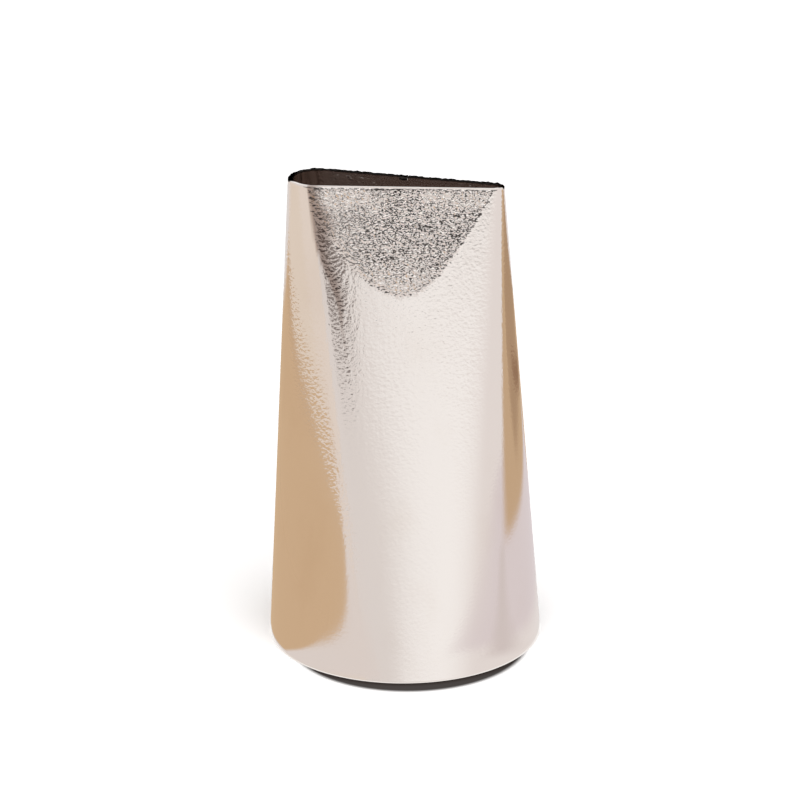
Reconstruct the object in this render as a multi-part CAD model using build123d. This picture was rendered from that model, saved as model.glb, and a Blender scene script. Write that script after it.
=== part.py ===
from build123d import *
import os
from math import asin, atan2, ceil, cos, degrees, sin, sqrt

# A petal piping nozzle. One sheet of stainless steel is rolled into a cone and welded
# up the middle of its back, and its top is then pressed to a teardrop slot.
# The origin is the centre of the round base, +Z runs up to the slot, the front is -Y,
# and the wide end of the slot lies towards -X.

# Sizes of the whole nozzle, in millimetres
base_diameter = 30.0
height = 52.6
sheet = 0.5

# The slot's outer outline: two end arcs joined by straight lips
slot_length = 23.6
wide_end_radius = 3.2
narrow_end_radius = 1.25
slot_shift = 0.6  # how far the middle of the slot lies towards its wide end

# The press leaves bowed faces with a flat on each, from the lip down to a round foot
face_radius = 80.0  # bow that the faces would have at the slot's level
flat_depth = 10.9  # from the lip down to the lowest point of a flat

# The weld that closes the rolled sheet, flush outside and slightly proud inside
seam_width = 0.8
weld_rise = 0.15

# How far the cuts run past the faces that they open
cut_overrun = 0.25

# The most that one strip of the rolled wall turns, in degrees
strip_turn = 5

# Turns that face straight to the front and to the back, and half a turn, in degrees
front_turn = 270
back_turn = 90
half_turn = 180

# Places that follow from the sizes above
base_radius = base_diameter / 2
wide_x = -slot_length / 2 - slot_shift + wide_end_radius
narrow_x = slot_length / 2 - slot_shift - narrow_end_radius
ends_apart = narrow_x - wide_x

# A face arc touches both end arcs inside, which sets its centre behind the slot
reach_wide = face_radius - wide_end_radius
reach_narrow = face_radius - narrow_end_radius
face_x = (wide_x + narrow_x) / 2 + (reach_wide**2 - reach_narrow**2) / (2 * ends_apart)
face_y = sqrt(reach_wide**2 - (face_x - wide_x) ** 2)

# Turns, in degrees, from straight ahead to where a face arc meets each end arc
wide_turn = degrees(asin((face_x - wide_x) / reach_wide))
narrow_turn = degrees(asin((narrow_x - face_x) / reach_narrow))

# The straight lips lean because the slot's ends differ: the level part of a flat's normal
lean_sine = (wide_end_radius - narrow_end_radius) / ends_apart
lean_cosine = sqrt(1 - lean_sine**2)


def section(level, inset):
    """Face at a level of the bowed cone: four tangent arcs, drawn in by the inset.

    Every arc starts as a stretch of the round base and ends as one arc of the slot,
    facing the same way, so the walls between two sections bend in one direction only,
    as a rolled sheet does. Long arcs are drawn as short ones, one for each strip.
    """
    share = level / height
    edges = []

    def arc(x, y, slot_radius, start, size):
        """Draw one arc of the section, on its way from the base's centre to (x, y)."""
        radius = (1 - share) * base_radius + share * slot_radius - inset
        strips = ceil(size / strip_turn)
        for strip in range(strips):
            turned = start + size * strip / strips
            line = CenterArc((share * x, share * y, level), radius, turned, size / strips)
            edges.extend(line.edges())

    face_size = wide_turn + narrow_turn
    arc(face_x, face_y, face_radius, front_turn - wide_turn, face_size)
    arc(narrow_x, 0, narrow_end_radius, front_turn + narrow_turn, half_turn - 2 * narrow_turn)
    arc(face_x, -face_y, face_radius, back_turn - narrow_turn, face_size)
    arc(wide_x, 0, wide_end_radius, back_turn + wide_turn, half_turn - 2 * wide_turn)
    return make_face(Wire(edges))


def flat_plane(side, inset):
    """Plane of the pressed flat on the front (side -1) or the back (side 1).

    It holds the straight lip at the top and the lowest point of the flat below.
    """
    lip_reach = wide_end_radius + wide_x * lean_sine
    face_reach = face_radius + face_x * lean_sine - face_y * lean_cosine
    foot_share = 1 - flat_depth / height
    foot_reach = (1 - foot_share) * base_radius + foot_share * face_reach
    tilt = atan2(foot_reach - lip_reach, flat_depth)
    across = Vector(lean_sine, side * lean_cosine)
    lip_point = across * (lip_reach - inset) + Vector(0, 0, height)
    outward = across * cos(tilt) + Vector(0, 0, sin(tilt))
    return Plane(origin=lip_point, x_dir=across.cross(Vector(0, 0, 1)), z_dir=outward)


def form(inset, low, high):
    """Solid of the nozzle's outer form, drawn in by the inset, from one level to another."""
    body = loft([section(low, inset), section(high, inset)], ruled=True)
    for side in (-1, 1):
        body = split(body, bisect_by=flat_plane(side, inset), keep=Keep.BOTTOM)
    return body


def hollow(inset):
    """What is cut away inside a wall as thick as the inset, running past both ends."""
    return form(inset, -cut_overrun, height + cut_overrun)


def seam_space():
    """Slot up the middle of the back that the weld fills."""
    depth = base_radius + cut_overrun
    length = height + 2 * cut_overrun
    box = Box(seam_width, depth, length, align=(Align.CENTER, Align.MIN, Align.MIN))
    return Pos(0, 0, -cut_overrun) * box


def nozzle_shell():
    """The formed sheet, open at its seam."""
    return form(0, 0, height) - hollow(sheet) - seam_space()


def seam_weld():
    """Bead between the two edges of the sheet, flush outside and proud inside."""
    return (form(0, 0, height) & seam_space()) - hollow(sheet + weld_rise)


parts = {"nozzle_shell": nozzle_shell, "seam_weld": seam_weld}

os.makedirs("parts", exist_ok=True)
for name, build in parts.items():
    part = build()
    export_step(part, f"parts/{name}.step")
    print(name, "volume", round(part.volume, 1), "box", part.bounding_box().size)
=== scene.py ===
"""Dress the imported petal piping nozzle: its polished sheet, its weld and a plain studio.

Lengths are in metres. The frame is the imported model's own: the origin is the centre of the
round base, +Z runs up to the slot, -Y is the front, and the slot's wide end lies towards -X.
"""

import logging
from dataclasses import dataclass
from enum import Enum
from math import asin, atan2, cos, exp, floor, log, pi, radians, sin, sqrt

import bmesh
import bpy
from mathutils import Matrix, Vector, noise


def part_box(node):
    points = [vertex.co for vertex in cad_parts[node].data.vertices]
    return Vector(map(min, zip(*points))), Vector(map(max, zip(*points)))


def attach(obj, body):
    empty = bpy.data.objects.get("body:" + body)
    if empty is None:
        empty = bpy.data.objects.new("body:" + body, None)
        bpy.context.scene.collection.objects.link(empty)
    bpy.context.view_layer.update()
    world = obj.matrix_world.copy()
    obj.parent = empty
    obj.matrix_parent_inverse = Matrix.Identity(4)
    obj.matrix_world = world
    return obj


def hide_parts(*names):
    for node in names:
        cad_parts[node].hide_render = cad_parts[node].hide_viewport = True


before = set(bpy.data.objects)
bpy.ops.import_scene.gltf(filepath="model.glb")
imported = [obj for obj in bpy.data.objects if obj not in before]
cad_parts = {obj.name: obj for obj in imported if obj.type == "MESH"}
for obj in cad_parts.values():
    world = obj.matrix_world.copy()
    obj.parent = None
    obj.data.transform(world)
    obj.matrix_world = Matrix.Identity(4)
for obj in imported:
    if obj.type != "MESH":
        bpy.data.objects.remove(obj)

MM = 0.001
LOG = logging.getLogger("nozzle")

Colour = tuple[float, float, float]
Spot = tuple[float, float, float]
Pair = tuple[float, float]
Corners = tuple[Spot, Spot, Spot, Spot]
Sockets = dict[str | int, object]
Socket = bpy.types.NodeSocket
Node = bpy.types.ShaderNode
Mesh = bmesh.types.BMesh

WHITE: Colour = (1.0, 1.0, 1.0)

# Within this reach of the origin the metal mirrors the floor's painted shade and rim highlight, and beyond
# it the cards
CARD_REACH = 15.35 * MM

# Within this distance a corner counts as on a plane, or as one with another corner
MERGE = 0.0005 * MM


class Side(Enum):
    """A side of the nozzle, by the sign of Y there."""

    FRONT = -1
    BACK = 1


def smooth_step(low: float, high: float, value: float) -> float:
    """Rise from 0 at low to 1 at high without a corner.

    Args:
        low: Value at which the rise starts.
        high: Value at which the rise ends, which may be less than low.
        value: Value to look up.

    Returns:
        The height of the rise there, from 0 to 1.
    """
    share = min(max((value - low) / (high - low), 0.0), 1.0)
    return share * share * (3 - 2 * share)


def heading(azimuth: float, elevation: float) -> Vector:
    """Work out a direction from the nozzle.

    Args:
        azimuth: Degrees from the front, towards +X.
        elevation: Degrees above the floor.

    Returns:
        The direction, one long.
    """
    turn, rise = radians(azimuth), radians(elevation)
    return Vector((sin(turn) * cos(rise), -cos(turn) * cos(rise), sin(rise)))


def cut(mesh: Mesh, side: Side, place: Vector, facing: Vector) -> None:
    """Add edges where a plane meets one side of the nozzle.

    Args:
        mesh: Mesh to cut.
        side: Which side.
        place: A point of the plane.
        facing: The direction that the plane faces.
    """
    faces = [face for face in mesh.faces if face.calc_center_median().y * side.value > 0]
    parts = list(dict.fromkeys(part for face in faces for part in (*face.verts, *face.edges, face)))
    bmesh.ops.bisect_plane(mesh, geom=parts, dist=MERGE, plane_co=place, plane_no=facing)


def add_object(name: str, data: bpy.types.ID) -> bpy.types.Object:
    """Make an object and put it in the scene.

    Args:
        name: Its name.
        data: The mesh, lamp or camera that it shows.

    Returns:
        The object.
    """
    made = bpy.data.objects.new(name, data)
    bpy.context.scene.collection.objects.link(made)
    return made


def add_mesh(name: str, mesh: Mesh, material: bpy.types.Material) -> bpy.types.Object:
    """Make an object of a mesh and put it in the scene.

    Args:
        name: Its name.
        mesh: The mesh, which is used up.
        material: Its finish.

    Returns:
        The object.
    """
    data = bpy.data.meshes.new(name)
    mesh.to_mesh(data)
    mesh.free()
    data.materials.append(material)
    return add_object(name, data)


class Recipe:
    """A material or world under construction, filled node by node."""

    def __init__(self, owner: bpy.types.Material | bpy.types.World) -> None:
        """Empty the owner's node tree and keep it.

        Args:
            owner: Material or world that the nodes belong to.
        """
        owner.use_nodes = True
        self.tree = owner.node_tree
        self.tree.nodes.clear()

    def node(self, kind: str, sockets: Sockets | None = None, **settings: object) -> Node:
        """Add a node.

        Args:
            kind: Node type, without the ShaderNode that all of them start with.
            sockets: Values for its inputs, or sockets of other nodes to link to them.
            settings: Values for the node's own properties.

        Returns:
            The new node.
        """
        node = self.tree.nodes.new("ShaderNode" + kind)
        for name, value in settings.items():
            setattr(node, name, value)
        for name, value in (sockets or {}).items():
            if isinstance(value, Socket):
                self.tree.links.new(value, node.inputs[name])
            else:
                node.inputs[name].default_value = value
        return node

    def math(self, operation: str, *values: object) -> Socket:
        """Add a Math node.

        Args:
            operation: Name of the operation, such as MULTIPLY.
            values: Numbers or sockets, in the order of the node's inputs.

        Returns:
            The socket that holds the result.
        """
        return self.node("Math", dict(enumerate(values)), operation=operation).outputs[0]

    def ramp(self, value: object, low: float, high: float, start: object = 0.0, end: object = 1.0) -> Socket:
        """Add a smooth rise of one value with another.

        Args:
            value: Number or socket that drives the rise.
            low: Driving value at which the rise starts.
            high: Driving value at which the rise ends.
            start: Result up to low.
            end: Result from high on.

        Returns:
            The socket that holds the result.
        """
        sockets = {"Value": value, "From Min": low, "From Max": high, "To Min": start, "To Max": end}
        return self.node("MapRange", sockets, interpolation_type="SMOOTHSTEP").outputs["Result"]

    def fade(self, name: str) -> Socket:
        """Add a value that the mesh holds for each corner.

        Args:
            name: The mesh attribute's name.

        Returns:
            The socket that holds it.
        """
        return self.node("Attribute", attribute_name=name).outputs["Fac"]

    def axis(self, name: str) -> Socket:
        """Add one of the object's own coordinates.

        Args:
            name: X, Y or Z.

        Returns:
            The socket that holds it, in metres.
        """
        return self.node("SeparateXYZ", {"Vector": self.place((1, 1, 1))}).outputs[name]

    def mix(self, factor: object, start: object, end: object) -> Socket:
        """Blend two colours.

        Args:
            factor: Number or socket, 0 for the first colour and 1 for the second.
            start: First colour, or the socket that holds it.
            end: Second colour, or the socket that holds it.

        Returns:
            The socket that holds the blend.
        """
        sockets = {"Factor": factor}
        for name, value in (("A", start), ("B", end)):
            sockets[name] = (*value, 1) if isinstance(value, tuple) else value
        return self.node("Mix", sockets, data_type="RGBA").outputs["Result"]

    def place(self, scale: Spot, turn: Spot = (0, 0, 0)) -> Socket:
        """Add the object's own coordinates with a scale and a turn.

        Args:
            scale: Repeats per metre along each axis.
            turn: Turn about each axis, in degrees.

        Returns:
            The socket that holds the coordinates.
        """
        source = self.node("TexCoord").outputs["Object"]
        rotation = tuple(radians(angle) for angle in turn)
        return self.node("Mapping", {"Vector": source, "Rotation": rotation, "Scale": scale}).outputs[0]

    def reach(self, centre: Spot | Vector = (0, 0, 0)) -> Socket:
        """Add the distance from a point, in the object's own coordinates.

        Args:
            centre: The point.

        Returns:
            The socket that holds the distance, in metres.
        """
        source = self.node("TexCoord").outputs["Object"]
        return self.node("VectorMath", {0: source, 1: centre}, operation="DISTANCE").outputs["Value"]

    def over(self, factor: object, under: Node, upper: Node) -> Node:
        """Blend two shaders.

        Args:
            factor: Number or socket, 0 for the lower shader and 1 for the upper.
            under: Lower shader.
            upper: Upper shader.

        Returns:
            The blend.
        """
        return self.node("MixShader", {0: factor, 1: under.outputs[0], 2: upper.outputs[0]})


@dataclass(frozen=True)
class Steel:
    """Finish of polished stainless sheet, with a coarse grain where the press rubbed it and a painted shade
    beside the front crease.

    A size given as a pair runs round the wall and up it. Every other pair runs from where a
    share is 0 to where it is 1.
    """

    name: str
    colour: Colour = (0.9, 0.845, 0.805)
    stain: Colour = (0.865, 0.8, 0.75)
    stain_size: Pair = (6 * MM, 11 * MM)
    stain_rise: Pair = (0.5, 0.85)
    # Painted shade: the colour that the wall darkens to beside the front crease
    painted_shade: Colour = (0.44, 0.36, 0.32)
    burnt: Colour = (0.035, 0.03, 0.028)
    burnt_rise: Pair = (0.3, 0.8)
    roughness: float = 0.09
    rubbed_roughness: float = 0.05
    worn_roughness: float = 0.25
    worn_across: Pair = (-7 * MM, 1 * MM)
    grain_height: float = 0.115 * MM
    grain_length: float = 0.42 * MM
    grain_width: float = 0.29 * MM
    grain_slant: float = 38.0
    cross_share: float = 0.7
    dent_height: float = 0.03 * MM
    dent_size: float = 2.2 * MM
    patch_height: float = 0.12 * MM
    patch_size: float = 8 * MM
    polish_low: float = 0.003 * MM
    polish_high: float = 0.009 * MM
    polish_up: Pair = (18 * MM, 36 * MM)
    polish_size: float = 0.35 * MM
    streak_size: Pair = (0.5 * MM, 9 * MM)
    hollow_size: Pair = (5 * MM, 9 * MM)
    hollow_height: float = 0.004 * MM

    def material(self) -> bpy.types.Material:
        """Make the material.

        Returns:
            A metal that follows the attributes that mark the rubbed and burnt places, and the painted shade
            beside the front crease.
        """
        material = bpy.data.materials.new(self.name)
        recipe = Recipe(material)
        rubbed = recipe.fade("rubbed")
        burnt = recipe.ramp(recipe.fade("burnt"), *self.burnt_rise)
        stained = recipe.ramp(self.pattern(recipe, self.stain_size, 4), *self.stain_rise)
        # The colour is mixed towards the painted shade beside the front crease
        tint = recipe.mix(recipe.fade("painted_shade"), recipe.mix(stained, self.colour, self.stain), self.painted_shade)
        height = recipe.math("MULTIPLY_ADD", self.grain(recipe), rubbed, self.waves(recipe))
        bump = recipe.node("Bump", {"Strength": 1.0, "Distance": 1.0, "Height": height})
        worn = recipe.ramp(recipe.axis("X"), *self.worn_across, self.worn_roughness, self.rubbed_roughness)
        shader = recipe.node("BsdfPrincipled", {
            "Base Color": recipe.mix(burnt, tint, self.burnt),
            "Specular Tint": recipe.mix(burnt, WHITE, self.burnt),
            "Metallic": 1.0,
            "Roughness": recipe.ramp(rubbed, 0.0, 1.0, self.roughness, worn),
            "Normal": bump.outputs["Normal"],
        })
        recipe.node("OutputMaterial", {"Surface": shader.outputs["BSDF"]})
        return material

    def pattern(self, recipe: Recipe, size: Pair, detail: float, slant: float = 0.0) -> Socket:
        """Add noise with its own size across and up the wall.

        Args:
            recipe: Material under construction.
            size: Its size round the wall and up it.
            detail: Layers of finer noise.
            slant: Turn of the pattern about the Y axis, in degrees.

        Returns:
            The socket that holds the noise, from 0 to 1.
        """
        across, up = (1 / length for length in size)
        vector = recipe.place((across, across, up), (0, slant, 0))
        return recipe.node("TexNoise", {"Vector": vector, "Scale": 1.0, "Detail": detail}).outputs["Fac"]

    def grain(self, recipe: Recipe) -> Socket:
        """Add the grain: short slanted marks, crossed by others, over shallow dents and patches.

        Args:
            recipe: Material under construction.

        Returns:
            The socket that holds the grain's height where it is strongest, in metres, which
            comes to nothing on average.
        """
        long, wide = self.grain_length, self.grain_width
        slanted = self.pattern(recipe, (long, wide), 1, self.grain_slant)
        crossed = self.pattern(recipe, (wide, long), 0, -self.grain_slant / 2)
        marks = recipe.math("MULTIPLY_ADD", crossed, self.cross_share, slanted)
        height = recipe.math("MULTIPLY", marks, self.grain_height)
        dents = self.pattern(recipe, (self.dent_size, self.dent_size), 1)
        height = recipe.math("MULTIPLY_ADD", dents, self.dent_height, height)
        patches = self.pattern(recipe, (self.patch_size, self.patch_size), 0)
        height = recipe.math("MULTIPLY_ADD", patches, self.patch_height, height)
        mean = ((1 + self.cross_share) * self.grain_height + self.dent_height + self.patch_height) / 2
        return recipe.math("SUBTRACT", height, mean)

    def waves(self, recipe: Recipe) -> Socket:
        """Add the faint specks, streaks and hollows that rolling and polishing leave.

        Args:
            recipe: Material under construction.

        Returns:
            The socket that holds their height, in metres.
        """
        specks = self.pattern(recipe, (self.polish_size, self.polish_size), 1)
        streaks = self.pattern(recipe, self.streak_size, 2)
        hollows = self.pattern(recipe, self.hollow_size, 1)
        polish = recipe.ramp(recipe.axis("Z"), *self.polish_up, self.polish_low, self.polish_high)
        fine = recipe.math("MULTIPLY", recipe.math("ADD", specks, streaks), polish)
        return recipe.math("MULTIPLY_ADD", hollows, self.hollow_height, fine)


@dataclass(frozen=True)
class NozzleForm:
    """Outer form of the wall: a round base that bows into a teardrop slot, with two flats."""

    base_radius: float
    height: float
    slot_length: float = 23.6 * MM
    wide_end_radius: float = 3.2 * MM
    narrow_end_radius: float = 1.25 * MM
    slot_shift: float = 0.6 * MM
    face_radius: float = 80 * MM
    flat_depth: float = 10.9 * MM
    seam_width: float = 0.8 * MM
    press_blend: float = 0.005 * MM
    # How far the wall stood proud of a flat where the rubbing starts and where it is whole
    press_edge: Pair = (-0.005 * MM, 0.02 * MM)
    burr_drop: float = 0.2 * MM
    burr_reach: float = 0.5 * MM
    burr_spacing: float = 0.36 * MM
    # The burr's even part, its coarse nicks and its fine ones, as shares of the drop
    burr_shares: tuple[float, ...] = (0.5, 0.5, 0.25)
    # Depth below the rim where the burnt edge fades out and where it is whole
    burnt_depths: Pair = (0.3 * MM, 0.1 * MM)
    face_columns: int = 118
    end_columns: int = 50

    @property
    def wide_x(self) -> float:
        """Centre of the slot's wide end."""
        return -self.slot_length / 2 - self.slot_shift + self.wide_end_radius

    @property
    def narrow_x(self) -> float:
        """Centre of the slot's narrow end."""
        return self.slot_length / 2 - self.slot_shift - self.narrow_end_radius

    @property
    def lean(self) -> float:
        """Angle that the slot's straight lips lean by, because its ends differ."""
        return asin((self.wide_end_radius - self.narrow_end_radius) / (self.narrow_x - self.wide_x))

    @property
    def face_centre(self) -> Pair:
        """X, and distance behind the slot, of the centre of a face's bow."""
        reach_wide = self.face_radius - self.wide_end_radius
        reach_narrow = self.face_radius - self.narrow_end_radius
        middle = (self.wide_x + self.narrow_x) / 2
        apart = self.narrow_x - self.wide_x
        x = middle + (reach_wide**2 - reach_narrow**2) / (2 * apart)
        return x, sqrt(reach_wide**2 - (x - self.wide_x) ** 2)

    @property
    def face_turns(self) -> Pair:
        """Turns from the middle of a face to where it meets the wide end and the narrow one."""
        x = self.face_centre[0]
        wide = asin((x - self.wide_x) / (self.face_radius - self.wide_end_radius))
        return wide, asin((self.narrow_x - x) / (self.face_radius - self.narrow_end_radius))

    def line(self, centre: Pair, radius: float, turn: float) -> tuple[Vector, Vector]:
        """Lay out one of the straight lines that the rolled wall is made of.

        Args:
            centre: X and Y of the centre of the slot arc that it ends on.
            radius: Radius of that arc.
            turn: The way that the wall faces there, from +X.

        Returns:
            The foot and the top of the line.
        """
        facing = Vector((cos(turn), sin(turn), 0))
        return self.base_radius * facing, Vector((*centre, self.height)) + radius * facing

    def crease(self) -> tuple[Vector, Vector]:
        """Lay out the line where the front face meets the wide end.

        Returns:
            The foot and the top of the line.
        """
        return self.line(self.face_centre, self.face_radius, radians(-90) - self.face_turns[0])

    def generators(self) -> list[tuple[Vector, Vector]]:
        """Lay out the straight lines of the wall, all round the nozzle.

        Returns:
            The foot and the top of each line, with the first one repeated at the end.
        """
        x, y = self.face_centre
        wide_turn, narrow_turn = self.face_turns
        front, back, half = radians(-90), radians(90), radians(180)
        face = wide_turn + narrow_turn
        wide, narrow = self.wide_end_radius, self.narrow_end_radius
        arcs = (
            ((x, y), self.face_radius, front - wide_turn, face, self.face_columns),
            ((self.narrow_x, 0), narrow, front + narrow_turn, half - 2 * narrow_turn, self.end_columns),
            ((x, -y), self.face_radius, back - narrow_turn, face, self.face_columns),
            ((self.wide_x, 0), wide, back + wide_turn, half - 2 * wide_turn, self.end_columns),
        )
        lines = [
            self.line(centre, radius, start + size * column / columns)
            for centre, radius, start, size, columns in arcs
            for column in range(columns)
        ]
        return lines + lines[:1]

    def slot_reach(self, x: float) -> float:
        """Measure half the slot's outer width.

        Args:
            x: Place along the slot.

        Returns:
            How far the lips lie from the slot's middle there.
        """
        share = (x - self.wide_x) / (self.narrow_x - self.wide_x)
        return self.wide_end_radius + (self.narrow_end_radius - self.wide_end_radius) * share

    def flat(self, side: Side) -> tuple[Vector, Vector]:
        """Place the plane of a pressed flat.

        Args:
            side: Which flat.

        Returns:
            A point on the plane and its outward direction.
        """
        x, y = self.face_centre
        lip_reach = self.wide_end_radius + self.wide_x * sin(self.lean)
        face_reach = self.face_radius + x * sin(self.lean) - y * cos(self.lean)
        share = 1 - self.flat_depth / self.height
        foot_reach = (1 - share) * self.base_radius + share * face_reach
        tilt = atan2(foot_reach - lip_reach, self.flat_depth)
        across = Vector((sin(self.lean), side.value * cos(self.lean), 0))
        up = Vector((0, 0, 1))
        return across * lip_reach + up * self.height, across * cos(tilt) + up * sin(tilt)

    def pressed(self, point: Vector) -> tuple[Vector, float]:
        """Press a point of the rolled wall level back to the flats, with a soft edge round them.

        Args:
            point: Point on the rolled wall.

        Returns:
            The pressed point, and how far it stood proud of a flat, less than 0 if it didn't.
        """
        deepest = -self.base_radius
        for side in Side:
            origin, outward = self.flat(side)
            proud = (point - origin).dot(outward)
            ratio = proud / self.press_blend
            soft = self.press_blend * (max(ratio, 0) + log(1 + exp(-abs(ratio))))
            level = Vector((outward.x, outward.y, 0))
            point = point - level * soft / level.length_squared
            deepest = max(deepest, proud)
        return point, deepest

    def rubbed(self, proud: float, fade: float = 0.0) -> float:
        """Work out how far the press rubbed a place of the wall.

        Args:
            proud: How far the place stood proud of a flat.
            fade: How far the rubbing fades out beyond the flat.

        Returns:
            How rubbed it is, from 0 to 1.
        """
        low, high = self.press_edge
        return smooth_step(low - fade, high, proud)

    def burr(self, point: Vector) -> Pair:
        """Work out what cutting the slot open did to the wall.

        Args:
            point: Point on the wall.

        Returns:
            How burnt it is there, from 0 to 1, and how far a nick in the rim lowers it.
        """
        place = Vector((point.x, point.y, self.height)) / self.burr_spacing
        even, coarse, fine = self.burr_shares
        nick = even + coarse * noise.noise(place) + fine * noise.noise(2 * place)
        near = min(max(1 - (self.height - point.z) / self.burr_reach, 0), 1)
        burnt = smooth_step(*self.burnt_depths, self.height - point.z)
        return burnt, near * self.burr_drop * max(nick, 0)

    def back_point(self, x: float, level: float) -> Vector:
        """Find a point on the back of the rolled wall.

        Args:
            x: Its place across the back.
            level: Its height above the base.

        Returns:
            The point, before the flats are pressed.
        """
        share = level / self.height
        centre_x, centre_y = (share * value for value in self.face_centre)
        radius = (1 - share) * self.base_radius + share * self.face_radius
        return Vector((x, sqrt(radius**2 - (x - centre_x) ** 2) - centre_y, level))


class Piece:
    """A finished piece of the nozzle: a mesh object that stands for a CAD node."""

    def __init__(self, node: str, mesh: Mesh, material: bpy.types.Material, slot: str) -> None:
        """Turn the mesh into an object that rides on the nozzle's only body.

        Args:
            node: Name of the CAD node that the piece replaces.
            mesh: The piece's mesh, in place.
            material: Its finish.
            slot: Not used.
        """
        self.object = add_mesh(node + "_dressed", mesh, material)
        self.object.data.name = node + "_sheet"
        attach(self.object, "root")
        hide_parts(node)

    def report(self) -> None:
        """Log the piece's size in triangles."""
        triangles = sum(len(face.vertices) - 2 for face in self.object.data.polygons)
        LOG.info("%s: %d triangles", self.object.name, triangles)


@dataclass(frozen=True)
class Wear:
    """Where the press rubbed the wall, and the band beside the front crease that is rubbed and has painted
    shade.

    Every pair but the fold's levels runs from where a share is 0 to where it is 1.
    """

    form: NozzleForm
    # The rubbing fades out past a flat, and farther near the slot's wide end
    fade: float = 0.22 * MM
    fade_least: float = 0.12
    fade_across: Pair = (4 * MM, -6 * MM)
    fade_up: Pair = (41 * MM, 49 * MM)
    # The grain is coarser at the flats' corners and feet, and ends at the rim
    end_gain: float = 0.8
    corner_aside: Pair = (0.5 * MM, 5 * MM)
    corner_across: Pair = (-9 * MM, -7.4 * MM)
    corner_up: Pair = (49.6 * MM, 51.4 * MM)
    foot_up: Pair = (45 * MM, 42.5 * MM)
    rim_depths: Pair = (0.09 * MM, 0.3 * MM)
    # The band of rubbing and painted shade starts beside the crease, crosses it higher up, and widens
    # upwards
    start: float = 1.1 * MM
    swing: float = 1.6 * MM
    swing_up: Pair = (39 * MM, 47.5 * MM)
    edge: float = 0.15 * MM
    least_width: float = 0.25
    width_up: Pair = (37.5 * MM, 43 * MM)
    # The band's rubbing and painted shade, each whole up to a share of its own width
    rub_share: float = 0.15
    rub_width: float = 2.8 * MM
    rub_whole: float = 0.25
    rub_up: Pair = (23 * MM, 43 * MM)
    painted_shade_width: float = 1.9 * MM
    painted_shade_whole: float = 0.2
    painted_shade_up: Pair = (32 * MM, 42 * MM)
    swell: float = 1.4 * MM
    swell_up: Pair = (45 * MM, 48.5 * MM)
    swell_end_up: Pair = (51.2 * MM, 49.5 * MM)
    # The fold is a faint line that leaves the crease at its lower level
    fold_share: float = 0.095
    fold_width: float = 1.2 * MM
    fold_levels: Pair = (14.5 * MM, 50 * MM)
    fold_turn: float = -170.0
    fold_facing: float = -150.0

    def fold(self) -> tuple[Vector, Vector]:
        """Lay out the plane where the press began to bend the wall beside the crease.

        Returns:
            A point of the plane and the direction that it faces.
        """
        low, high = (level / self.form.height for level in self.fold_levels)
        foot, top = self.form.crease()
        start = foot.lerp(top, low)
        foot, top = self.form.line((self.form.wide_x, 0), self.form.wide_end_radius, radians(self.fold_turn))
        run = foot.lerp(top, high) - start
        facing = radians(self.fold_facing)
        return start, run.cross(Vector((cos(facing), sin(facing), 0))).normalized()

    def beside_crease(self, point: Vector) -> Pair:
        """Work out the painted shade beside the crease, and how far the press rubbed the front of the wall
        beside the crease and the fold.

        Args:
            point: Point on the rolled wall.

        Returns:
            How dull and how rubbed the wall is there, each from 0 to 1.
        """
        if point.y > 0:
            return 0.0, 0.0
        foot, top = self.form.crease()
        beyond = point.x - foot.lerp(top, point.z / self.form.height).x
        origin, facing = self.fold()
        fold = self.fold_share * smooth_step(self.fold_width, 0, abs((point - origin).dot(facing)))
        fold *= smooth_step(self.edge, -self.edge, beyond)
        aside = beyond - self.start + self.swing * smooth_step(*self.swing_up, point.z)
        begun = smooth_step(-self.edge, self.edge, aside)
        narrow = self.least_width + (1 - self.least_width) * smooth_step(*self.width_up, point.z)
        swell = smooth_step(*self.swell_up, point.z) * smooth_step(*self.swell_end_up, point.z)
        width = narrow * self.painted_shade_width + self.swell * swell
        # Painted shade: a darker band beside the crease that widens upwards
        painted_shade = begun * smooth_step(width, width * self.painted_shade_whole, aside)
        painted_shade *= smooth_step(*self.painted_shade_up, point.z)
        width = narrow * self.rub_width
        rub = begun * smooth_step(width, width * self.rub_whole, aside)
        rub *= smooth_step(*self.rub_up, point.z)
        return painted_shade, max(self.rub_share * rub, fold)

    def on_flat(self, point: Vector, proud: float) -> float:
        """Work out how far the press rubbed a place on a flat or just past it.

        Args:
            point: Point on the rolled wall.
            proud: How far it stood proud of a flat.

        Returns:
            How rubbed it is, from 0 to 1.
        """
        share = smooth_step(*self.fade_across, point.x) * smooth_step(*self.fade_up, point.z)
        return self.form.rubbed(proud, self.fade * (self.fade_least + (1 - self.fade_least) * share))

    def grain(self, point: Vector) -> float:
        """Work out where the grain is coarser, at the flats' corners and feet, and end it at the rim.

        Args:
            point: Point on the pressed wall.

        Returns:
            The grain's height there, as a share of its usual height.
        """
        corner = smooth_step(*self.corner_aside, abs(point.x)) * smooth_step(*self.corner_across, point.x)
        corner *= smooth_step(*self.corner_up, point.z)
        rim = smooth_step(*self.rim_depths, self.form.height - point.z)
        return rim * (1 + self.end_gain * max(corner, smooth_step(*self.foot_up, point.z)))


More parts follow.
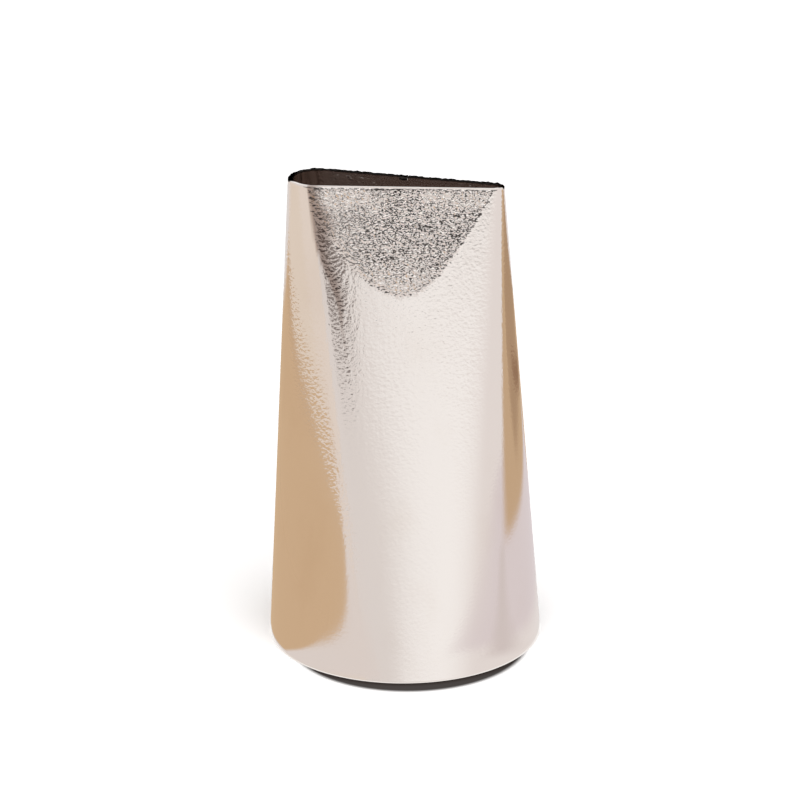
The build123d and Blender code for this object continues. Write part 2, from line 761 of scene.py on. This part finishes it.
@dataclass(frozen=True)
class NozzleShell:
    """The formed sheet, open at its seam, with soft rims and a burnt burr on the slot."""

    form: NozzleForm
    wear: Wear
    sheet: float = 0.5 * MM
    rings: int = 112
    rim_rounding: float = 0.09 * MM
    rim_support: float = 0.2 * MM
    rim_fine: float = 0.027 * MM
    # Distances from the plane of a flat at which the wall gets edges for its soft border
    flat_cuts: tuple[float, ...] = (-0.015 * MM, 0.0, 0.015 * MM)
    # The burr sets in between these shares of the way from the slot's middle to its back lip
    burr_back: Pair = (-0.7, -0.35)

    def build(self) -> Mesh:
        """Make the mesh.

        Returns:
            The shell's mesh, in place.
        """
        mesh = bmesh.new()
        self.roll(mesh)
        self.press(mesh)
        self.open_seam(mesh)
        self.thicken(mesh)
        self.round_rims(mesh)
        self.leave_burr(mesh)
        for face in mesh.faces:
            face.smooth = True
        return mesh

    def roll(self, mesh: Mesh) -> None:
        """Roll a grid into the wall, one column for each straight line of the form.

        Args:
            mesh: Empty mesh to fill.
        """
        lines = self.form.generators()
        columns = len(lines) - 1
        bmesh.ops.create_grid(mesh, x_segments=columns, y_segments=self.rings, size=1)
        for vert in mesh.verts:
            foot, top = lines[round((vert.co.x + 1) / 2 * columns)]
            vert.co = foot.lerp(top, (vert.co.y + 1) / 2)
        bmesh.ops.remove_doubles(mesh, verts=mesh.verts, dist=MERGE)
        bmesh.ops.recalc_face_normals(mesh, faces=mesh.faces)

    def press(self, mesh: Mesh) -> None:
        """Press the flats, mark where the press rubbed, on them and beside a crease, and mark the painted
        shade beside the crease.

        Args:
            mesh: The rolled wall.
        """
        for side in Side:
            origin, outward = self.form.flat(side)
            for aside in self.flat_cuts:
                cut(mesh, side, origin + outward * aside, outward)
        rubbed = mesh.verts.layers.float.new("rubbed")
        # Corner attributes: rubbing for the grain, and the painted shade beside the crease
        painted_shade = mesh.verts.layers.float.new("painted_shade")
        for vert in mesh.verts:
            rolled = vert.co.copy()
            vert[painted_shade], rub = self.wear.beside_crease(rolled)
            vert.co, proud = self.form.pressed(rolled)
            rub = max(rub, self.wear.on_flat(rolled, proud))
            vert[rubbed] = rub * self.wear.grain(vert.co)

    def open_seam(self, mesh: Mesh) -> None:
        """Cut the slot up the middle of the back that the weld fills.

        Args:
            mesh: The pressed wall.
        """
        reach = self.form.seam_width / 2
        for x in (-reach, reach):
            cut(mesh, Side.BACK, Vector((x, 0, 0)), Vector((1, 0, 0)))
        centres = {face: face.calc_center_median() for face in mesh.faces}
        middle = [face for face, centre in centres.items() if centre.y > 0 and abs(centre.x) < reach]
        bmesh.ops.delete(mesh, geom=middle, context="FACES")

    def thicken(self, mesh: Mesh) -> None:
        """Give the wall its thickness, inwards, and trim its ends level.

        Args:
            mesh: The wall's outer face.
        """
        for depth in (self.form.burr_reach, self.rim_support, self.rim_rounding, self.rim_fine):
            for level in (depth, self.form.height - depth):
                geometry = [*mesh.verts, *mesh.edges, *mesh.faces]
                bmesh.ops.bisect_plane(mesh, geom=geometry, plane_co=(0, 0, level), plane_no=(0, 0, 1))
        layer = mesh.verts.layers.float.new("level")
        for vert in mesh.verts:
            vert[layer] = vert.co.z
        bmesh.ops.solidify(mesh, geom=list(mesh.faces), thickness=self.sheet)
        for vert in mesh.verts:
            if min(vert[layer], self.form.height - vert[layer]) < self.rim_support + MERGE:
                vert.co.z = vert[layer]
        mesh.verts.layers.float.remove(layer)

    def round_rims(self, mesh: Mesh) -> None:
        """Soften the sheared edges of the sheet.

        Args:
            mesh: The thick wall.
        """
        mesh.normal_update()
        moves = []
        for vert in mesh.verts:
            depth = max(min(vert.co.z, self.form.height - vert.co.z), 0)
            if depth < self.rim_rounding:
                outward = Vector((vert.normal.x, vert.normal.y, 0)).normalized()
                shift = self.rim_rounding - sqrt(self.rim_rounding**2 - (self.rim_rounding - depth) ** 2)
                moves.append((vert, outward * shift))
        for vert, move in moves:
            vert.co -= move

    def leave_burr(self, mesh: Mesh) -> None:
        """Nick and burn the slot's rim, all but its front, as cutting it open leaves it.

        Args:
            mesh: The wall with its rims rounded.
        """
        layer = mesh.verts.layers.float.new("burnt")
        for vert in mesh.verts:
            burnt, drop = self.form.burr(vert.co)
            middle = self.form.slot_reach(vert.co.x) - self.sheet / 2
            back = smooth_step(*self.burr_back, vert.co.y / middle)
            vert[layer] = burnt * back
            vert.co.z -= drop * back


@dataclass(frozen=True)
class SeamWeld:
    """The bead that fills the seam: flush and rippled outside, proud of the sheet inside."""

    form: NozzleForm
    thickness: float = 0.65 * MM
    ripple_pitch: float = 0.42 * MM
    ripple_depth: float = 0.02 * MM
    ripple_bow: float = 0.5
    columns: int = 10
    rings: int = 420

    def build(self) -> Mesh:
        """Make the mesh.

        Returns:
            The bead's mesh, in place.
        """
        mesh = bmesh.new()
        bmesh.ops.create_grid(mesh, x_segments=self.columns, y_segments=self.rings, size=1)
        rubbed = mesh.verts.layers.float.new("rubbed")
        burnt = mesh.verts.layers.float.new("burnt")
        for vert in mesh.verts:
            across, level = vert.co.x, (vert.co.y + 1) / 2 * self.form.height
            rolled = self.form.back_point(across * self.form.seam_width / 2, level)
            point, proud = self.form.pressed(rolled)
            curve = level / self.ripple_pitch + self.ripple_bow * across**2
            hollow = (1 - across**4) * self.ripple_depth * (2 * (curve - floor(curve)) - 1) ** 2
            vert.co = point - Vector((0, hollow, 0))
            vert[rubbed] = self.form.rubbed(proud)
            vert[burnt], drop = self.form.burr(vert.co)
            vert.co.z -= drop
        bmesh.ops.recalc_face_normals(mesh, faces=mesh.faces)
        if sum(face.normal.y for face in mesh.faces) < 0:
            bmesh.ops.reverse_faces(mesh, faces=mesh.faces)
        bmesh.ops.solidify(mesh, geom=list(mesh.faces), thickness=self.thickness)
        for vert in mesh.verts:
            vert.co.z = min(max(vert.co.z, 0), self.form.height)
        for face in mesh.faces:
            face.smooth = True
        return mesh


@dataclass(frozen=True)
class View:
    """The camera, aimed from the photograph's own angle."""

    azimuth: float = 9.88
    elevation: float = 21.74
    roll: float = -0.501
    distance: float = 600 * MM
    aim: Spot = (0.0, 0.0, 27 * MM)
    focus_pixels: float = 5486.8
    frame_pixels: float = 800.0
    centre_offset: Pair = (3.36, 1.75)
    sensor: float = 36.0
    farthest: float = 20.0

    def axes(self) -> tuple[Vector, Vector, Vector]:
        """Work out the camera's own axes.

        Returns:
            Its right, its up and the direction back towards it.
        """
        roll = radians(self.roll)
        back = heading(self.azimuth, self.elevation)
        right = heading(self.azimuth + 90, 0)
        up = back.cross(right)
        return right * cos(roll) + up * sin(roll), up * cos(roll) - right * sin(roll), back

    def direction(self, azimuth: float, elevation: float) -> Vector:
        """Work out a direction from the nozzle as the photographer sees it.

        Args:
            azimuth: Degrees from straight towards the camera, to its right.
            elevation: Degrees above the floor.

        Returns:
            The direction, one long.
        """
        return heading(self.azimuth + azimuth, elevation)

    def place(self) -> None:
        """Make the camera and give it to the scene."""
        right, up, back = self.axes()
        data = bpy.data.cameras.new("camera")
        data.sensor_width = self.sensor
        data.lens = self.sensor * self.focus_pixels / self.frame_pixels
        data.clip_end = self.farthest
        step = self.distance / self.focus_pixels
        aside = right * self.centre_offset[0] * step - up * self.centre_offset[1] * step
        camera = add_object("camera", data)
        turn = Matrix((right, up, back)).transposed()
        place = Vector(self.aim) - aside + back * self.distance
        camera.matrix_world = Matrix.Translation(place) @ turn.to_4x4()
        bpy.context.scene.camera = camera


@dataclass(frozen=True)
class Card:
    """A soft-edged studio card that shows only where the metal reflects it.

    Its corners run round it from the far left one, or the top left one if it stands. They are
    given in millimetres as the photographer sees them: right, towards the camera, and up.
    """

    name: str
    corners: Corners
    colour: Colour
    soft_shares: Pair = (0.1, 0.1)
    cover: float = 1.0
    steps: int = 16

    def material(self) -> bpy.types.Material:
        """Make the card's glow, which fades out towards its edges.

        Returns:
            The material.
        """
        material = bpy.data.materials.new(self.name)
        recipe = Recipe(material)
        place = recipe.node("SeparateXYZ", {"Vector": recipe.node("UVMap", uv_map="card").outputs["UV"]})
        outside = recipe.math("GREATER_THAN", recipe.reach(), CARD_REACH)
        cover = recipe.math("MULTIPLY", outside, self.cover)
        for axis, soft in zip("XY", self.soft_shares):
            aside = recipe.math("ABSOLUTE", recipe.math("SUBTRACT", place.outputs[axis], 0.5))
            cover = recipe.math("MULTIPLY", cover, recipe.ramp(aside, 0.5 - soft, 0.5, 1.0, 0.0))
        glow = recipe.node("Emission", {"Color": (*self.colour, 1)})
        mixed = recipe.over(cover, recipe.node("BsdfTransparent"), glow)
        recipe.node("OutputMaterial", {"Surface": mixed.outputs[0]})
        return material

    def place(self, view: View) -> None:
        """Stand the card in the studio.

        Args:
            view: The camera, which the card's place follows.
        """
        mesh = bmesh.new()
        layer = mesh.loops.layers.uv.new("card")
        bmesh.ops.create_grid(mesh, x_segments=self.steps, y_segments=self.steps, size=0.5, calc_uvs=True)
        far_left, far_right, near_right, near_left = (Vector((x, -y, z)) * MM for x, y, z in self.corners)
        for face in mesh.faces:
            for loop in face.loops:
                loop[layer].uv = loop.vert.co.xy + Vector((0.5, 0.5))
        for vert in mesh.verts:
            across, up = vert.co.x + 0.5, vert.co.y + 0.5
            vert.co = near_left.lerp(near_right, across).lerp(far_left.lerp(far_right, across), up)
        bmesh.ops.rotate(mesh, matrix=Matrix.Rotation(radians(view.azimuth), 3, "Z"), verts=mesh.verts)
        card = add_mesh(self.name, mesh, self.material())
        card.visible_camera = card.visible_diffuse = card.visible_shadow = False
        card.visible_transmission = card.visible_volume_scatter = False


def lying(level: float, *points: Pair) -> Corners:
    """Lay a card's corners on the floor.

    Args:
        level: Height above the floor, in millimetres, which sets which card lies on top.
        points: Right and towards the camera of each corner.

    Returns:
        The corners.
    """
    return tuple((right, towards, level) for right, towards in points)


def standing(start: Pair, end: Pair, low: float, high: float) -> Corners:
    """Stand a card's corners up.

    Args:
        start: Right and towards the camera of its left edge.
        end: The same of its right edge.
        low: Height of its lower edge.
        high: Height of its upper edge.

    Returns:
        The corners.
    """
    return (*start, high), (*end, high), (*end, low), (*start, low)


@dataclass(frozen=True)
class Studio:
    """A plain pale floor, a white surround, a soft lamp and the cards that the metal mirrors."""

    floor_half: float = 0.6
    floor_colour: float = 0.95
    floor_gain: float = 1.5
    fill: float = 0.25
    mouth_radius: float = 14.7 * MM
    painted_mouth_shade: Colour = (0.074, 0.056, 0.05)
    left_shade: Colour = (0.77, 0.735, 0.72)
    right_shade: Colour = (0.83, 0.79, 0.78)
    right_rise: Pair = (-0.1, 0.7)
    # The band of light runs from one azimuth and elevation to another
    light_start: Pair = (-5.0, 5.0)
    light_end: Pair = (29.0, -4.0)
    light_width: float = 5.5
    light_length: float = 50.0
    # The painted contact shadow is a soft-edged round patch, moved towards the camera
    contact_shift: float = 4.0 * MM
    contact_turn: float = 6.0
    contact_edge: Pair = (12.65 * MM, 13.55 * MM)
    contact_rise: Pair = (15 * MM, 15.9 * MM)
    contact_share: float = 0.975
    painted_shadow_colour: Colour = (0.045, 0.035, 0.032)
    lamp_reach: float = 2.0

    def floor(self, view: View) -> None:
        """Lay the floor: white to the camera, with a painted contact shadow where the rim meets it.

        In the mouth the metal mirrors it as a painted dim shade, and at the rim as a painted
        bright highlight. Farther out the metal mirrors the cards instead.

        Args:
            view: The camera, which the contact shadow follows.
        """
        mesh = bmesh.new()
        bmesh.ops.create_grid(mesh, x_segments=1, y_segments=1, size=self.floor_half)
        material = bpy.data.materials.new("pale_floor")
        recipe = Recipe(material)
        path = recipe.node("LightPath").outputs
        shown = self.floor_colour * self.floor_gain
        level = recipe.ramp(path["Is Camera Ray"], 0.0, 1.0, self.floor_colour, shown)
        # Painted contact shadow: the floor's colour darkens near the rim on its near side
        shade = recipe.mix(self.contact(recipe, view), level, self.painted_shadow_colour)
        reach = recipe.reach()
        # Painted shade in the mouth and a painted highlight ring at the rim, seen only by glossy rays
        tint = recipe.mix(recipe.math("GREATER_THAN", reach, self.mouth_radius), self.painted_mouth_shade, WHITE)
        outside = recipe.math("GREATER_THAN", reach, CARD_REACH)
        glow = recipe.node("Emission", {"Color": tint})
        mirrored = recipe.over(outside, glow, recipe.node("BsdfTransparent"))
        mixed = recipe.over(path["Is Glossy Ray"], recipe.node("BsdfDiffuse", {"Color": shade}), mirrored)
        recipe.node("OutputMaterial", {"Surface": mixed.outputs[0]})
        floor_object = add_mesh("floor", mesh, material)

    def contact(self, recipe: Recipe, view: View) -> Socket:
        """Add the painted contact shadow, a dark line where the rim meets the floor, thickest on the near
        side.

        Args:
            recipe: Floor material under construction.
            view: The camera, which says which side is near.

        Returns:
            The socket that holds how dark the painted shadow makes the floor there.
        """
        centre = self.contact_shift * view.direction(self.contact_turn, 0)
        outer = recipe.ramp(recipe.reach(centre), *self.contact_edge, 1.0, 0.0)
        rise = recipe.ramp(recipe.reach(), *self.contact_rise, 1.0, self.contact_share)
        return recipe.math("MULTIPLY", outer, rise)

    def surround(self, view: View) -> None:
        """Make the world white to the camera, and a slanting band of light in the metal.

        Args:
            view: The camera, which the band stands beside.
        """
        world = bpy.data.worlds.new("surround")
        bpy.context.scene.world = world
        world.cycles.sampling_method = "NONE"
        recipe = Recipe(world)
        path = recipe.node("LightPath").outputs
        start, end = (view.direction(*angles) for angles in (self.light_start, self.light_end))
        beside = self.facing(recipe, start.cross(end).normalized())
        along = self.facing(recipe, (start + end).normalized())
        width, length = sin(radians(self.light_width)), cos(radians(self.light_length))
        band = recipe.ramp(recipe.math("ABSOLUTE", beside), 0.0, width, 1.0, 0.0)
        band = recipe.math("MULTIPLY", band, recipe.ramp(along, length, 1.0))
        right = recipe.ramp(self.facing(recipe, view.direction(90, 0)), *self.right_rise)
        white = recipe.math("MAXIMUM", band, path["Is Camera Ray"])
        tint = recipe.mix(white, recipe.mix(right, self.left_shade, self.right_shade), WHITE)
        strength = recipe.ramp(path["Diffuse Depth"], 0.0, 1.0, 1.0, self.fill)
        glow = recipe.node("Background", {"Color": tint, "Strength": strength})
        recipe.node("OutputWorld", {"Surface": glow.outputs[0]})

    def facing(self, recipe: Recipe, direction: Vector) -> Socket:
        """Add how far the world's own direction agrees with another.

        Args:
            recipe: World under construction.
            direction: The other direction, one long.

        Returns:
            The socket that holds the cosine of the angle between them.
        """
        place = recipe.node("TexCoord").outputs["Generated"]
        return recipe.node("VectorMath", {0: place, 1: direction}, operation="DOT_PRODUCT").outputs["Value"]

    def lamp(self, name: str, azimuth: float, elevation: float, size: float, level: float) -> None:
        """Hang a lamp that lights the floor and doesn't show in the metal.

        Args:
            name: The lamp's name.
            azimuth: Its direction, in degrees from the front towards +X.
            elevation: Its height above the floor, in degrees.
            size: Width of its square face.
            level: How bright it makes a white floor under the nozzle.
        """
        back = heading(azimuth, elevation)
        data = bpy.data.lights.new(name, "AREA")
        data.size = size
        data.energy = level * (pi * self.lamp_reach) ** 2 / back.z
        lamp = add_object(name, data)
        turn = back.to_track_quat("Z", "Y").to_matrix().to_4x4()
        lamp.matrix_world = Matrix.Translation(back * self.lamp_reach) @ turn
        lamp.visible_camera = lamp.visible_glossy = False

    def cards(self, view: View) -> None:
        """Stand the cards that the polished metal mirrors.

        Args:
            view: The camera, which the cards' places follow.
        """
        tan_board: Colour = (0.64, 0.46, 0.295)
        tan_line: Colour = (0.54, 0.38, 0.25)
        beige_board: Colour = (0.78, 0.69, 0.6)
        beige_wall: Colour = (0.8, 0.72, 0.655)
        pink_board: Colour = (0.74, 0.68, 0.7)
        pink_line: Colour = (0.68, 0.62, 0.615)
        pale_floor: Colour = (0.77, 0.715, 0.69)
        brown_board: Colour = (0.585, 0.42, 0.27)
        brown_shade: Colour = (0.44, 0.3, 0.19)
        brown_line: Colour = (0.3, 0.18, 0.11)
        dark_side: Colour = (0.06, 0.055, 0.055)
        dark_post: Colour = (0.16, 0.13, 0.12)
        cards = (
            Card("left_wall", standing((-420, -450), (-420, 730), -200, 130), beige_wall, (0.06, 0.1)),
            Card("near_floor", lying(0.05, (-420, -115), (-4, -115), (-4, 450), (-420, 450)),
                 pale_floor, (0.02, 0.02)),
            Card("left_floor", lying(0.1, (-420, -115), (-90, -115), (-350, 450), (-420, 450)),
                 beige_board, (0.02, 0.03)),
            Card("left_board", lying(0.2, (-124, -112), (75, -112), (-346, 450), (-392, 450)),
                 tan_board, (0.045, 0.03)),
            Card("left_corner", lying(0.25, (-45, -60), (-10, -60), (-10, 4.4), (-45, 32)),
                 tan_board, (0.1, 0.025)),
            Card("left_line", lying(0.3, (-132, -104), (-92, -104), (-350, 430), (-385, 430)),
                 tan_line, (0.45, 0.03), 0.6),
            Card("right_floor", lying(0.1, (8, -110), (110, -110), (110, 60), (20, 60)),
                 pink_board, (0.08, 0.3)),
            Card("right_board", lying(0.2, (16, -118), (260, -118), (260, 14), (60, 14)),
                 brown_board, (0.05, 0.13)),
            Card("right_shade", lying(0.3, (40, -118), (190, -118), (200, -24), (64, -24)),
                 brown_shade, (0.15, 0.15)),
            Card("right_line", lying(0.4, (34, -98), (112, -57), (122, -40), (36, -68)),
                 brown_line, (0.3, 0.45)),
            Card("front_line", lying(0.3, (12, 4), (64, 4), (64, 17), (12, 17)), pink_line, (0.1, 0.5)),
            Card("camera_side", standing((-900, 600), (620, 600), 116, 390), dark_side, (0.05, 0.08)),
            Card("high_light", standing((-900, 600), (620, 600), 360, 1500), WHITE, (0.05, 0.05)),
            Card("far_wall", standing((-500, -640), (500, -640), 120, 460), WHITE, (0.1, 0.15)),
            Card("post", standing((-254, 545), (-180, 572), 72, 240), dark_post, (0.35, 0.09)),
            Card("post_foot", standing((-240, 551), (-222, 557), 66, 86), dark_post, (0.3, 0.2), 0.7),
        )
        for card in cards:
            card.place(view)

    def build(self, view: View) -> None:
        """Build the studio.

        Args:
            view: The camera.
        """
        self.floor(view)
        self.surround(view)
        self.cards(view)
        self.lamp("soft_lamp", azimuth=20, elevation=75, size=1.5, level=0.75)


def main() -> None:
    """Build the nozzle's pieces and the studio."""
    logging.basicConfig(level=logging.INFO, format="%(name)s %(message)s")
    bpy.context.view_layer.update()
    low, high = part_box("nozzle_shell")
    form = NozzleForm(base_radius=(high.x - low.x) / 2, height=high.z)
    view = View()
    view.place()
    sheet_steel = Steel("sheet_steel").material()
    weld_steel = Steel("weld_steel", roughness=0.24).material()
    shell = NozzleShell(form, Wear(form))
    Piece("nozzle_shell", shell.build(), sheet_steel, "sheet_steel").report()
    Piece("seam_weld", SeamWeld(form).build(), weld_steel, "weld_steel").report()
    Studio().build(view)
    bpy.context.scene.view_settings.view_transform = "Standard"


if __name__ == "__main__":
    main()
